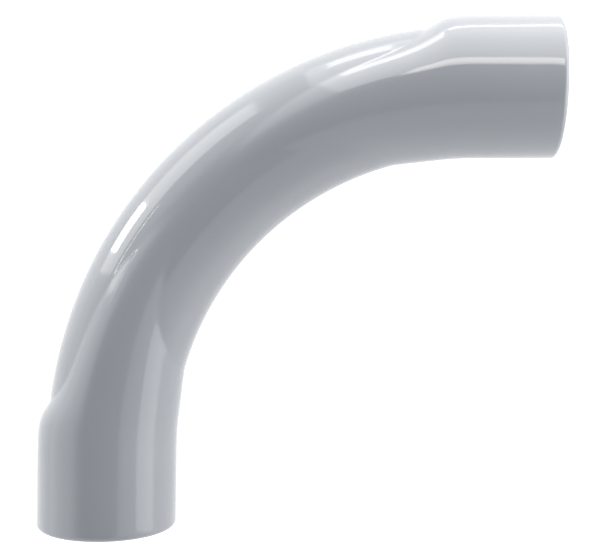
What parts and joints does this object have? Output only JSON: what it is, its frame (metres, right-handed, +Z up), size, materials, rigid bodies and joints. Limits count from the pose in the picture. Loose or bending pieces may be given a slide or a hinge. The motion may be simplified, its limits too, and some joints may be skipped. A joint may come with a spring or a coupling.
{
  "type": "conduit elbow",
  "caption": "Right-angle rigid PVC conduit bend with a plain round socket at each end, for turning a cable conduit run round a corner.",
  "frame": {"origin": "under the middle of the part's box, on the surface that it lies on", "axes": "+Z up, square to the plane of the bend; one socket opens towards -Y, the other towards +X"},
  "size_m": [0.1064, 0.1064, 0.029],
  "materials": {
    "grey_pvc": "glossy moulded light grey PVC"
  },
  "bodies": {
    "root": {"conduit_bend": "grey_pvc"}
  },
  "joints": []
}
